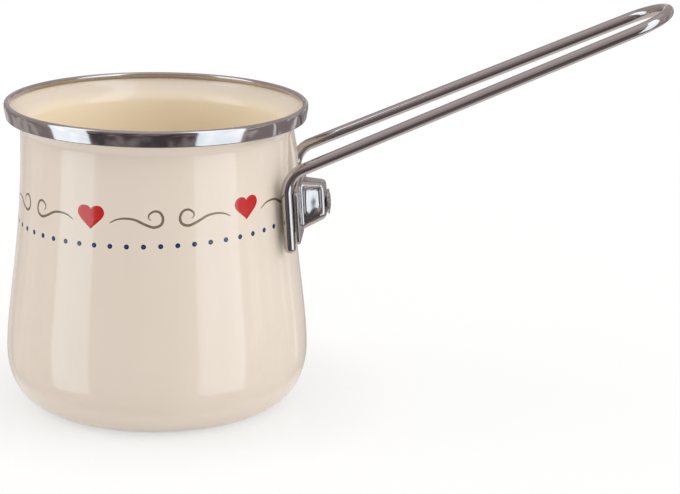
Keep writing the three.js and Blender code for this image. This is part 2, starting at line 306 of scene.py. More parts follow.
def skin(rings, loop=False):
    """Points and faces of a skin through rings of equal count, capped or closed into a loop."""
    size = len(rings[0])
    points = [p for ring in rings for p in ring]
    faces = []
    last = len(rings) if loop else len(rings) - 1
    for r in range(last):
        here = r * size
        there = (r + 1) % len(rings) * size
        for i in range(size):
            following = (i + 1) % size
            faces.append((here + i, here + following, there + following, there + i))
    if not loop:
        faces.append(tuple(range(size)))
        faces.append(tuple((len(rings) - 1) * size + i for i in range(size)))
    return points, faces


# Geometry trees


def new_tree(name, **sockets):
    """A geometry tree with a geometry input, the named inputs and a geometry output."""
    tree = bpy.data.node_groups.new(name, "GeometryNodeTree")
    tree.interface.new_socket("Geometry", in_out="INPUT", socket_type="NodeSocketGeometry")
    for label, kind in sockets.items():
        tree.interface.new_socket(label, in_out="INPUT", socket_type=f"NodeSocket{kind}")
    tree.interface.new_socket("Geometry", in_out="OUTPUT", socket_type="NodeSocketGeometry")
    return tree, add(tree, "NodeGroupInput").outputs


def end_tree(tree, geometry, material):
    """Close a tree: real geometry, smooth, with its material."""
    real = add(tree, "GeometryNodeRealizeInstances", {"Geometry": geometry})
    smooth = add(tree, "GeometryNodeSetShadeSmooth", {"Geometry": real})
    finished = add(tree, "GeometryNodeSetMaterial", {"Geometry": smooth, "Material": material})
    add(tree, "NodeGroupOutput", {0: finished})
    return tree


def turning_tree():
    """Turns a profile drawn in X and Z about the Z axis."""
    tree, given = new_tree("Turned Sheet", Steps="Int", Material="Material")
    hub = 1 * MM  # radius of the circle that carries the profile round
    profile = add(tree, "GeometryNodeMeshToCurve", {"Mesh": given["Geometry"]})
    laid = add(
        tree, "GeometryNodeTransform",
        {"Geometry": profile, "Translation": (-hub, 0, 0), "Rotation": (math.pi / 2, 0, 0)},
    )
    circle = add(tree, "GeometryNodeCurvePrimitiveCircle", {"Resolution": given["Steps"], "Radius": hub})
    turned = add(tree, "GeometryNodeCurveToMesh", {"Curve": circle, "Profile Curve": laid})
    closed = add(tree, "GeometryNodeMergeByDistance", {"Geometry": turned, "Distance": MERGE})
    return end_tree(tree, closed, given["Material"])


def bar_tree():
    """Sweeps a round or flattened bar along a path, as thick as the path's bar_radius says."""
    tree, given = new_tree("Bar Along Path", Sides="Int", Flatness="Float", Material="Material")
    measure = add(tree, "GeometryNodeSplineParameter").outputs
    path = add(tree, "GeometryNodeMeshToCurve", {"Mesh": given["Geometry"]})
    along = add(
        tree, "GeometryNodeStoreNamedAttribute",
        {"Geometry": path, "Name": "along", "Value": measure["Length"]},
    )
    circle = add(tree, "GeometryNodeCurvePrimitiveCircle", {"Resolution": given["Sides"], "Radius": 1.0})
    around = add(
        tree, "GeometryNodeStoreNamedAttribute",
        {"Geometry": circle, "Name": "around", "Value": measure["Factor"]},
    )
    flat = add(tree, "ShaderNodeCombineXYZ", {"X": 1.0, "Y": given["Flatness"], "Z": 1.0})
    section = add(tree, "GeometryNodeTransform", {"Geometry": around, "Scale": flat})
    radius = add(tree, "GeometryNodeInputNamedAttribute", {"Name": "bar_radius"})
    swept = add(
        tree, "GeometryNodeCurveToMesh",
        {"Curve": along, "Profile Curve": section, "Scale": radius, "Fill Caps": True},
    )
    return end_tree(tree, swept, given["Material"])


def print_tree():
    """Repeats a flat print in even steps and wraps it on the wall, above a line round the pot.

    The flat print's X runs along the wall, its Y up from the line, and its Z out of the wall.
    First and Step are measured along the wall. Rise lifts the line towards +X, and Slant towards +Y.
    """
    tree, given = new_tree(
        "Wall Print", Wall="Object", Count="Int", First="Float", Step="Float", Radius="Float",
        Line="Float", Rise="Float", Slant="Float", Material="Material",
    )
    outside = 100 * MM  # rays start this far from the pot's axis
    first = add(tree, "ShaderNodeCombineXYZ", {"X": given["First"]})
    step = add(tree, "ShaderNodeCombineXYZ", {"X": given["Step"]})
    places = add(
        tree, "GeometryNodeMeshLine",
        {"Count": given["Count"], "Start Location": first, "Offset": step},
    )
    copies = add(tree, "GeometryNodeInstanceOnPoints", {"Points": places, "Instance": given["Geometry"]})
    flat = add(tree, "GeometryNodeRealizeInstances", {"Geometry": copies})
    place = add(tree, "GeometryNodeInputPosition")
    along, up, out = add(tree, "ShaderNodeSeparateXYZ", {0: place}).outputs
    turn = add(tree, "ShaderNodeMath", {0: along, 1: given["Radius"]}, operation="DIVIDE")
    outward = add(
        tree, "ShaderNodeVectorRotate", {"Vector": (1, 0, 0), "Angle": turn}, rotation_type="Z_AXIS"
    )
    inward = add(tree, "ShaderNodeVectorMath", {0: outward, "Scale": -1.0}, operation="SCALE")
    lean = add(tree, "ShaderNodeCombineXYZ", {"X": given["Rise"], "Y": given["Slant"]})
    tilt = add(tree, "ShaderNodeVectorMath", {0: outward, 1: lean}, operation="DOT_PRODUCT")
    line = add(tree, "ShaderNodeMath", {0: given["Line"], 1: tilt}, operation="ADD")
    height = add(tree, "ShaderNodeMath", {0: line, 1: up}, operation="ADD")
    level = add(tree, "ShaderNodeCombineXYZ", {"Z": height})
    source = add(
        tree, "ShaderNodeVectorMath", {0: outward, 1: (outside,) * 3, 2: level}, operation="MULTIPLY_ADD"
    )
    wall = add(tree, "GeometryNodeObjectInfo", {"Object": given["Wall"]}).outputs["Geometry"]
    hit = add(
        tree, "GeometryNodeRaycast",
        {
            "Target Geometry": wall, "Source Position": source,
            "Ray Direction": inward, "Ray Length": outside,
        },
    ).outputs["Hit Position"]
    landed = add(tree, "ShaderNodeVectorMath", {0: outward, 1: out, 2: hit}, operation="MULTIPLY_ADD")
    wrapped = add(tree, "GeometryNodeSetPosition", {"Geometry": flat, "Position": landed})
    return end_tree(tree, wrapped, given["Material"])


def run_tree(tree, mesh, **values):
    """Run a geometry tree over a mesh and return the result as a plain mesh."""
    source = bpy.data.objects.new("source", mesh)
    bpy.context.scene.collection.objects.link(source)
    modifier = source.modifiers.new(tree.name, "NODES")
    modifier.node_group = tree
    for item in tree.interface.items_tree:
        if item.in_out == "INPUT" and item.name in values:
            modifier[item.identifier] = values[item.name]
    graph = bpy.context.evaluated_depsgraph_get()
    result = bpy.data.meshes.new_from_object(source.evaluated_get(graph), depsgraph=graph)
    source.modifiers.remove(modifier)
    bpy.data.objects.remove(source)
    bpy.data.meshes.remove(mesh)
    return result


# Materials


def new_material(name):
    """A material without nodes, and its tree."""
    material = bpy.data.materials.new(name)
    material.use_nodes = True
    material.node_tree.nodes.clear()
    return material, material.node_tree


def laid_over(tree, measure, start, end, under, over):
    """One colour laid over another with a soft edge, where a measure runs from start to end."""
    share = add(
        tree, "ShaderNodeMapRange", {0: measure, 1: start, 2: end}, interpolation_type="SMOOTHSTEP"
    )
    return add(tree, "ShaderNodeMix", {0: share, 6: under, 7: over}, data_type="RGBA")


def enamel(name, pale, deep, inside):
    """Vitreous enamel, a glass fired on steel.

    It looks wet: a hard clear gloss with slow waves where the glass flowed, and a cream that
    drifts a little where the coat is thicker. The inside is a warmer, brighter cream that fades in
    below the lip. This is partly the coat's own colour and partly painted light, which stands in for
    the light and bounce that the deep inside lacks.
    """
    material, tree = new_material(name)
    drift_size, flow_size, flow_depth = 28 * MM, 9 * MM, 0.02 * MM
    place = add(tree, "ShaderNodeTexCoord").outputs["Object"]
    drift = add(tree, "ShaderNodeTexNoise", {"Vector": place, "Scale": 1 / drift_size, "Detail": 2.0})
    outside = add(tree, "ShaderNodeMix", {0: drift, 6: pale, 7: deep}, data_type="RGBA")
    # The inside mark carries painted light as well as the inside coat: it blends in the brighter, warmer
    # inside cream below the lip
    inside_light_share = add(tree, "ShaderNodeAttribute", attribute_name="inside").outputs["Fac"]
    cream = add(tree, "ShaderNodeMix", {0: inside_light_share, 6: outside, 7: inside}, data_type="RGBA")
    flow = add(tree, "ShaderNodeTexNoise", {"Vector": place, "Scale": 1 / flow_size, "Detail": 1.0})
    waves = add(tree, "ShaderNodeBump", {"Strength": 0.25, "Distance": flow_depth, "Height": flow})
    shader = add(
        tree, "ShaderNodeBsdfPrincipled",
        {"Base Color": cream, "Roughness": 0.1, "IOR": 1.52, "Normal": waves},
    )
    add(tree, "ShaderNodeOutputMaterial", {"Surface": shader})
    return material


def fired_print(name, pale, deep):
    """Ceramic transfer print, fired into the enamel.

    Its soft flux bends light more than the enamel does, so it shines a little more, and its
    colour is a screen of pigment, denser in places. The screen is drawn coarse, so that it shows.
    """
    material, tree = new_material(name)
    grain = 0.8 * MM
    place = add(tree, "ShaderNodeTexCoord").outputs["Object"]
    screen = add(tree, "ShaderNodeTexNoise", {"Vector": place, "Scale": 1 / grain, "Detail": 3.0})
    pigment = add(tree, "ShaderNodeMix", {0: screen, 6: pale, 7: deep}, data_type="RGBA")
    shader = add(
        tree, "ShaderNodeBsdfPrincipled", {"Base Color": pigment, "Roughness": 0.12, "IOR": 1.63}
    )
    add(tree, "ShaderNodeOutputMaterial", {"Surface": shader})
    return material


def dot_print(name, middle, rim):
    """Ceramic transfer print in round dots: the pigment is paler in the middle of each."""
    material, tree = new_material(name)
    reach = add(tree, "ShaderNodeAttribute", attribute_name="rim").outputs["Fac"]
    pale_end, full_start = 0.15, 0.6
    pigment = laid_over(tree, reach, pale_end, full_start, middle, rim)
    shader = add(
        tree, "ShaderNodeBsdfPrincipled", {"Base Color": pigment, "Roughness": 0.12, "IOR": 1.63}
    )
    add(tree, "ShaderNodeOutputMaterial", {"Surface": shader})
    return material


def polished_steel(name, finish, lines, roughness):
    """Stainless steel, polished: a mirror with faint lines along the way it was worked.

    The lines come from a vector whose stretch is set by the caller, and are drawn
    a little coarser than real polishing marks so that they show.
    """
    material, tree = new_material(name)
    dent_size, dent_depth = 7 * MM, 0.03 * MM
    smoothest, roughest = 0.6 * roughness, 1.4 * roughness
    marks = add(tree, "ShaderNodeTexNoise", {"Vector": lines(tree), "Scale": 1.0, "Detail": 3.0})
    tint = add(tree, "ShaderNodeMix", {0: marks, 6: finish.steel, 7: finish.steel_dull}, data_type="RGBA")
    gloss = add(tree, "ShaderNodeMapRange", {0: marks, 3: smoothest, 4: roughest})
    place = add(tree, "ShaderNodeTexCoord").outputs["Object"]
    dents = add(tree, "ShaderNodeTexNoise", {"Vector": place, "Scale": 1 / dent_size, "Detail": 1.0})
    uneven = add(tree, "ShaderNodeBump", {"Strength": 0.3, "Distance": dent_depth, "Height": dents})
    shader = add(
        tree, "ShaderNodeBsdfPrincipled",
        {"Base Color": tint, "Metallic": 1.0, "Roughness": gloss, "Normal": uneven},
    )
    add(tree, "ShaderNodeOutputMaterial", {"Surface": shader})
    return material


def lines_round(tree):
    """Lines round the pot's axis."""
    radius, long, apart = 48 * MM, 20 * MM, 0.25 * MM
    place = add(tree, "ShaderNodeTexCoord").outputs["Object"]
    x, y, z = add(tree, "ShaderNodeSeparateXYZ", {0: place}).outputs
    turn = add(tree, "ShaderNodeMath", {0: y, 1: x}, operation="ARCTAN2")
    both = add(tree, "ShaderNodeCombineXYZ", {"X": turn, "Y": z})
    return add(tree, "ShaderNodeMapping", {"Vector": both, "Scale": (radius / long, 1 / apart, 0)})


def lines_along(tree):
    """Drawing lines along the bar."""
    radius, long, apart = 1.86 * MM, 30 * MM, 0.4 * MM
    along = add(tree, "ShaderNodeAttribute", attribute_name="along").outputs["Fac"]
    around = add(tree, "ShaderNodeAttribute", attribute_name="around").outputs["Fac"]
    run = add(tree, "ShaderNodeMath", {0: along, 1: 1 / long}, operation="MULTIPLY")
    turn = add(tree, "ShaderNodeMath", {0: around, 1: 2 * math.pi}, operation="MULTIPLY")
    line = add(tree, "ShaderNodeCombineXYZ", {"X": run, "Y": radius / apart})
    return add(tree, "ShaderNodeVectorRotate", {"Vector": line, "Angle": turn}, rotation_type="X_AXIS")


def lines_up(tree):
    """Polishing lines up and down the bracket."""
    long, apart = 5 * MM, 0.3 * MM
    place = add(tree, "ShaderNodeTexCoord").outputs["Object"]
    return add(tree, "ShaderNodeMapping", {"Vector": place, "Scale": (1 / apart, 1 / apart, 1 / long)})


def zinc_plate(name, tint):
    """Zinc plating on steel: a soft grey metal with a fine crystalline mottle."""
    material, tree = new_material(name)
    mottle_size, smoothest, roughest = 1.2 * MM, 0.3, 0.5
    place = add(tree, "ShaderNodeTexCoord").outputs["Object"]
    mottle = add(tree, "ShaderNodeTexNoise", {"Vector": place, "Scale": 1 / mottle_size, "Detail": 2.0})
    gloss = add(tree, "ShaderNodeMapRange", {0: mottle, 3: smoothest, 4: roughest})
    shader = add(
        tree, "ShaderNodeBsdfPrincipled", {"Base Color": tint, "Metallic": 1.0, "Roughness": gloss}
    )
    add(tree, "ShaderNodeOutputMaterial", {"Surface": shader})
    return material


# The pot's wall


def cubic(a, b, c, d, t):
    """A point on a cubic curve, and its direction."""
    s = 1 - t
    at = a * s**3 + b * (3 * s * s * t) + c * (3 * s * t * t) + d * t**3
    along = (b - a) * (s * s) + (c - b) * (2 * s * t) + (d - c) * (t * t)
    return at, along.normalized()


def wall_points(pot, inset):
    """Radius and height along the wall, from the flat base to the lip, set in from the outer face."""
    neck_height = pot.rim_height - pot.lip_height
    lip_radius = pot.neck_radius + pot.lip_flare
    lip_foot = pot.rim_height - pot.ring_hook
    lip_top = pot.rim_height - pot.ring_sheet - pot.rim_gap

    def corner(t):
        turn = (t - 1) * math.pi / 2
        across = pot.belly_radius - pot.base_radius
        at = Vector((
            pot.base_radius + across * math.cos(turn),
            pot.belly_height * (1 + math.sin(turn)),
        ))
        along = Vector((-across * math.sin(turn), pot.belly_height * math.cos(turn)))
        return at, along.normalized()

    def wall(t):
        return cubic(
            Vector((pot.belly_radius, pot.belly_height)),
            Vector((pot.belly_radius, pot.belly_height + pot.belly_hold)),
            Vector((pot.neck_radius, neck_height - pot.neck_hold)),
            Vector((pot.neck_radius, neck_height)),
            t,
        )

    def flare(t):
        return cubic(
            Vector((pot.neck_radius, neck_height)),
            Vector((pot.neck_radius, neck_height + pot.flare_start)),
            Vector((lip_radius, lip_foot - pot.flare_end)),
            Vector((lip_radius, lip_foot)),
            t,
        )

    def lip(t):
        return Vector((lip_radius, lip_foot + (lip_top - lip_foot) * t)), Vector((0, 1))

    points = []
    for section, steps in ((corner, 20), (wall, 40), (flare, 16), (lip, 2)):
        for i in range(1 if points else 0, steps + 1):
            at, along = section(i / steps)
            points.append(Vector((at.x - along.y * inset, at.y + along.x * inset)))
    return points


def wall_radius(pot, height):
    """Outer radius of the pot at a height above its belly."""
    points = wall_points(pot, 0)
    for low, high in zip(points, points[1:]):
        if low.y <= height <= high.y and low.y > pot.belly_height / 2:
            share = (height - low.y) / (high.y - low.y)
            return low.x + (high.x - low.x) * share
    raise ValueError("the height is outside the wall")


def arc(centre, radius, start, end, steps):
    """Points on an arc, in radius and height."""
    turns = [math.radians(start + (end - start) * i / steps) for i in range(steps + 1)]
    return [centre + Vector((math.cos(a), math.sin(a))) * radius for a in turns]


def turned(name, profile, steps, material, **marks):
    """A plain mesh turned from a profile of radius and height, with named values on it."""
    drawn = polyline(name, [(p.x, 0, p.y) for p in profile], **marks)
    return run_tree(turning_tree(), drawn, Steps=steps, Material=material)


class COFFEEPOT_OT_pot(bpy.types.Operator):
    """Turn the enamelled pot from its wall line"""

    bl_idname = "coffee_pot.pot"
    bl_label = "Pot"

    def execute(self, context):
        pot = context.scene.pot_sizes
        finish = context.scene.pot_finishes
        outside = wall_points(pot, 0)
        inside = wall_points(pot, pot.wall)
        profile = [Vector((0, 0)), *outside, *reversed(inside), Vector((0, pot.wall))]
        # Painted light: the inside cream fades in from the lip down. The flare catches more light and
        # keeps most of the duller outside cream. The deeper inside gets less light and is painted brighter
        # and warmer.
        lip_light_share = 0.2
        inside_light_ramp = [0.0] * (len(outside) + 1)
        for at in [*reversed(inside), Vector((0, 0))]:
            below = (pot.rim_height - at.y - pot.ring_band) / (pot.lip_height - pot.ring_band)
            inside_light_ramp.append(lip_light_share + (1 - lip_light_share) * min(max(below, 0), 1))
        cream = enamel("Vitreous enamel", finish.enamel, finish.enamel_deep, finish.enamel_inside_and_light)
        mesh = turned("enamel_pot", profile, pot.turn_steps, cream, inside=inside_light_ramp)
        piece("enamel_pot", mesh, "pot_body")
        return {"FINISHED"}


class COFFEEPOT_OT_rim(bpy.types.Operator):
    """Turn the stainless ring that is folded over the lip"""

    bl_idname = "coffee_pot.rim"
    bl_label = "Rim Ring"

    def execute(self, context):
        pot = context.scene.pot_sizes
        finish = context.scene.pot_finishes
        lip_radius = pot.neck_radius + pot.lip_flare
        sheet = pot.ring_sheet
        inner = lip_radius - pot.wall - pot.rim_gap - sheet
        outer = lip_radius + pot.rim_gap + sheet
        foot = pot.rim_height - pot.ring_band
        foot_outer = outer - pot.ring_taper
        hook = pot.rim_height - pot.ring_hook
        hem_end = wall_radius(pot, foot + sheet) + pot.rim_gap
        level = pot.rim_height - pot.ring_round
        over_out = Vector((outer - pot.ring_round, level))
        over_in = Vector((inner + pot.ring_round, level))
        hem = Vector((foot_outer - sheet, foot + sheet))
        edge = Vector((inner + sheet / 2, hook))
        hem_steps, fold_steps, inner_steps = 6, 8, 4
        profile = [
            Vector((hem_end, foot)),
            *arc(hem, sheet, -90, 0, hem_steps),
            Vector((outer, hook)),
            *arc(over_out, pot.ring_round, 0, 90, fold_steps),
            *arc(over_in, pot.ring_round, 90, 180, fold_steps),
            *arc(edge, sheet / 2, 180, 360, fold_steps),
            *arc(over_in, pot.ring_round - sheet, 180, 90, inner_steps),
            *arc(over_out, pot.ring_round - sheet, 90, 0, inner_steps),
            Vector((outer - sheet, hook)),
            hem,
            Vector((hem_end, foot + sheet)),
            Vector((hem_end, foot)),
        ]
        steel = polished_steel("Polished stainless band", finish, lines_round, roughness=0.09)
        mesh = turned("steel_rim", profile, pot.turn_steps, steel)
        piece("steel_rim", mesh, "rim_ring")
        return {"FINISHED"}


# The handle


class HandleSeat:
    """The handle's own frame on the wall: X out of the bracket, Y across the legs, Z up along them."""

    def __init__(self, pot, handle):
        self.height = pot.rim_height - handle.bracket_drop
        low = self.height - handle.flange_bottom
        high = self.height + handle.flange_top
        self.lean = math.atan2(wall_radius(pot, low) - wall_radius(pot, high), high - low)
        self.reach = wall_radius(pot, self.height) + handle.pad_thickness + 2 * handle.seat_gap
        self.face = handle.bracket_sheet + handle.hat_depth
        place = Matrix.Translation((self.reach, 0, self.height))
        self.matrix = place @ Matrix.Rotation(-self.lean, 4, "Y")


def spline(points, steps):
    """Points on a smooth curve through the points given."""
    held = [points[0], *points, points[-1]]
    curve = [points[0]]
    for a, b, c, d in zip(held, held[1:], held[2:], held[3:]):
        for i in range(1, steps + 1):
            t = i / steps
            at, _ = cubic(b, b + (c - a) / 6, c - (d - b) / 6, c, t)
            curve.append(at)
    return curve


class COFFEEPOT_OT_pad(bpy.types.Operator):
    """Lay the enamelled pad on the wall under the bracket"""

    bl_idname = "coffee_pot.pad"
    bl_label = "Handle Pad"

    def execute(self, context):
        pot = context.scene.pot_sizes
        handle = context.scene.handle_sizes
        seat = HandleSeat(pot, handle)
        low = -handle.flange_bottom
        top = handle.bracket_drop - pot.ring_band - handle.pad_rim_gap
        crest = handle.flange_top + (top - handle.flange_top) * handle.pad_crest
        slope = math.tan(seat.lean)
        face = seat.reach - handle.seat_gap
        crest_out = wall_radius(pot, seat.height + crest) + handle.pad_bump + handle.seat_gap
        swell_steps = 12
        swell = spline(
            [
                Vector((face - handle.flange_top * slope, handle.flange_top)),
                Vector((crest_out, crest)),
                Vector((wall_radius(pot, seat.height + top), top)),
            ],
            swell_steps,
        )
        flat_steps = 16
        flat = []
        for i in range(flat_steps):
            z = low + (handle.flange_top - low) * (i / flat_steps) ** 2
            flat.append(Vector((face - z * slope, z)))
        columns = 40
        shoulder = 2 / 5
        sunk = 0.2 * MM
        foot = 1.2 * MM
        rings = []
        for at in [*flat, *swell]:
            height = seat.height + at.y
            radius = wall_radius(pot, height)
            rise = min((at.y - low) / foot, 1)
            full = math.sqrt(max(1 - (1 - rise) ** 2, 0))
            front = []
            back = []
            for i in range(columns + 1):
                turn = math.pi * i / columns
                share = math.copysign(abs(math.cos(turn)) ** shoulder, math.cos(turn))
                across = share * handle.pad_width / 2
                wall = math.sqrt(radius**2 - across**2)
                proud = max(at.x - wall, 0) * full * abs(math.sin(turn)) ** shoulder
                front.append((wall + proud, across, height))
                back.append((wall - sunk, across, height))
            rings.append(front + back[::-1])
        mesh = mesh_from("enamel_pad", *skin(rings))
        mesh.materials.append(bpy.data.materials["Vitreous enamel"])
        piece("enamel_pad", mesh, "handle_pad")
        return {"FINISHED"}


def rounded_ring(x, width, height, corner, lift):
    """A ring of points round a rectangle with round corners, across and up, at a distance out."""
    corner_steps = 8
    side_steps = 20
    arcs = []
    for quarter, (sideways, upwards) in enumerate(((1, 1), (-1, 1), (-1, -1), (1, -1))):
        centre = Vector((sideways * (width / 2 - corner), upwards * (height / 2 - corner)))
        arcs.append(arc(centre, corner, quarter * 90, quarter * 90 + 90, corner_steps))
    points = []
    for here, following in zip(arcs, arcs[1:] + arcs[:1]):
        points += here
        points += [here[-1].lerp(following[0], i / side_steps) for i in range(1, side_steps)]
    return [Vector((x, p.x, p.y + lift)) for p in points]


def smooth(share):
    """A share from 0 to 1 that starts and ends gently."""
    held = min(max(share, 0), 1)
    return held * held * (3 - 2 * held)


def round_ring(x, radius, like):
    """A circle of points that face the points of another ring."""
    turns = [math.atan2(p.z, p.y) for p in like]
    return [Vector((x, radius * math.cos(a), radius * math.sin(a))) for a in turns]


class COFFEEPOT_OT_bracket(bpy.types.Operator):
    """Press the bracket: a flat flange with a drafted hat and a hole for the screw"""

    bl_idname = "coffee_pot.bracket"
    bl_label = "Bracket"

    def execute(self, context):
        handle = context.scene.handle_sizes
        finish = context.scene.pot_finishes
        seat = HandleSeat(context.scene.pot_sizes, handle)
        sheet = handle.bracket_sheet
        edge = handle.hat_edge
        foot = handle.hat_foot
        round_off = handle.flange_edge

        def hat(x, grow):
            share = (x - sheet) / handle.hat_depth
            return rounded_ring(
                x,
                handle.hat_base_width * (1 - share) + handle.hat_top_width * share + 2 * grow,
                handle.hat_base_height * (1 - share) + handle.hat_top_height * share + 2 * grow,
                max(handle.hat_corner + grow, edge / 2),
                handle.hat_lift * share - handle.hat_drop * (1 - share),
            )

        def flange(x, grow):
            return rounded_ring(
                x,
                2 * (handle.leg_half + handle.flange_reach + grow),
                handle.flange_top + handle.flange_bottom + 2 * grow,
                handle.flange_corner + grow,
                (handle.flange_top - handle.flange_bottom) / 2,
            )

        quarter = [math.radians(a) for a in range(90, -1, -15)]
        bend = [(1 - math.sin(a), 1 - math.cos(a)) for a in quarter]
        hole = handle.screw_radius + handle.seat_gap
        support = 0.25 * MM
        inner_top = seat.face - sheet
        wall_steps = 20
        reach = handle.hat_depth - edge - foot
        sides = []
        for i in range(1, wall_steps):
            share = i / wall_steps
            sides.append(self.pressed(handle, hat(seat.face - edge - reach * share, 0), share))
        rings = [
            round_ring(seat.face, hole, hat(seat.face, 0)),
            hat(seat.face, -edge - support),
            *[hat(seat.face - edge * fall, -edge * tuck) for fall, tuck in bend],
            *sides,
            *[hat(sheet + foot * tuck, foot * fall / 2) for fall, tuck in bend],
            hat(sheet, foot / 2 + support),
            flange(sheet, -round_off - support),
            *[flange(sheet - round_off * fall, -round_off * tuck) for fall, tuck in bend],
            *[flange(round_off * fall, -round_off * tuck) for fall, tuck in reversed(bend)],
            flange(0, -round_off - support),
            hat(0, -sheet + support),
            hat(0, -sheet),
            hat(support, -sheet),
            hat(inner_top - support, -sheet),
            hat(inner_top, -sheet),
            hat(inner_top, -sheet - support),
            round_ring(inner_top, hole, hat(seat.face, 0)),
        ]
        mesh = mesh_from("pressed_bracket", *skin(rings, loop=True))
        mesh.transform(seat.matrix)
        steel = polished_steel("Polished pressed stainless", finish, lines_up, roughness=0.17)
        mesh.materials.append(steel)
        piece("pressed_bracket", mesh, "handle_bracket")
        return {"FINISHED"}

    def pressed(self, handle, ring, share):
        """A ring of the hat with its two sides dished and uneven, as pressing leaves them.

        The dish leans in towards the hat's face, and fades out low down and at the top.
        """
        fade = 0.12
        side_start = 0.7
        low_start, low_run = 0.25, 0.17
        high_end, high_run = 0.92, 0.14
        wave_size = 3.2 * MM
        wide = max(p.y for p in ring)
        low = min(p.z for p in ring)
        high = max(p.z for p in ring)
        flat = min(share, 1 - share, fade) / fade
        lean = (1 - 2 * share) * flat
        moved = []
        for p in ring:
            side = max(abs(p.y) / wide - side_start, 0) / (1 - side_start)
            up = (p.z - low) / (high - low)
            window = smooth((up - low_start) / low_run) * smooth((high_end - up) / high_run)
            wave = handle.hat_wave * noise.noise(p / wave_size)
            inward = side * (lean * window * handle.hat_dish + flat * wave)
            moved.append(p - Vector((0, math.copysign(1, p.y) * inward, 0)))
        return moved


class COFFEEPOT_OT_handle(bpy.types.Operator):
    """Bend the wire handle: leg, bend, grip, end loop and back"""

    bl_idname = "coffee_pot.handle"
    bl_label = "Wire Handle"

    def execute(self, context):
        handle = context.scene.handle_sizes
        finish = context.scene.pot_finishes
        seat = HandleSeat(context.scene.pot_sizes, handle)
        radius = handle.wire_radius
        leg_x = -radius - handle.seat_gap
        bend_start = handle.flange_top - handle.bend_tuck
        rise = handle.grip_angle - seat.lean
        bend_turn = math.pi / 2 - rise

        def bend(side, turn):
            return Vector((
                leg_x + handle.bend_radius * (1 - math.cos(turn)),
                side * handle.leg_half,
                bend_start + handle.bend_radius * math.sin(turn),
            ))

        grip_start = bend(0, bend_turn)
        grip_way = Vector((math.cos(rise), 0, math.sin(rise)))

        def loop(turn):
            ahead = handle.grip_length + handle.loop_radius * math.cos(turn)
            return grip_start + grip_way * ahead + Vector((0, handle.loop_radius * math.sin(turn), 0))

        reach = math.hypot(handle.grip_length, handle.leg_half)
        closing = math.acos(handle.loop_radius / reach)
        closing -= math.atan2(handle.grip_length, handle.leg_half)
        loop_start = math.pi / 2 - closing
        tip = Vector((leg_x, handle.leg_half, -handle.leg_drop))
        half = []
        dome_steps = 8
        first_step = 0.25  # of a step from the tip, so that the cap there has a size
        for i in range(dome_steps):
            turn = math.pi / 2 * (i + first_step) / dome_steps
            half.append((tip - Vector((0, 0, radius * math.cos(turn))), radius * math.sin(turn)))
        leg_steps = 6
        half += [(tip.lerp(bend(1, 0), i / leg_steps), radius) for i in range(leg_steps)]
        bend_steps = 20
        half += [(bend(1, bend_turn * i / bend_steps), radius) for i in range(bend_steps)]
        grip_steps = 24
        start = bend(1, bend_turn)
        end = loop(loop_start)
        half += [(start.lerp(end, i / grip_steps), radius) for i in range(grip_steps)]
        loop_steps = 28
        half += [(loop(loop_start * (1 - i / loop_steps)), radius) for i in range(loop_steps)]
        mirrored = [(Vector((p.x, -p.y, p.z)), r) for p, r in reversed(half)]
        path = [*half, (loop(0), radius), *mirrored]
        places = [seat.matrix @ p for p, _ in path]
        line = polyline("hairpin_handle", places, bar_radius=[r for _, r in path])
        steel = polished_steel("Polished drawn stainless", finish, lines_along, roughness=0.1)
        wire_sides = 40
        mesh = run_tree(bar_tree(), line, Sides=wire_sides, Flatness=1.0, Material=steel)
        piece("hairpin_handle", mesh, "wire_handle")
        return {"FINISHED"}


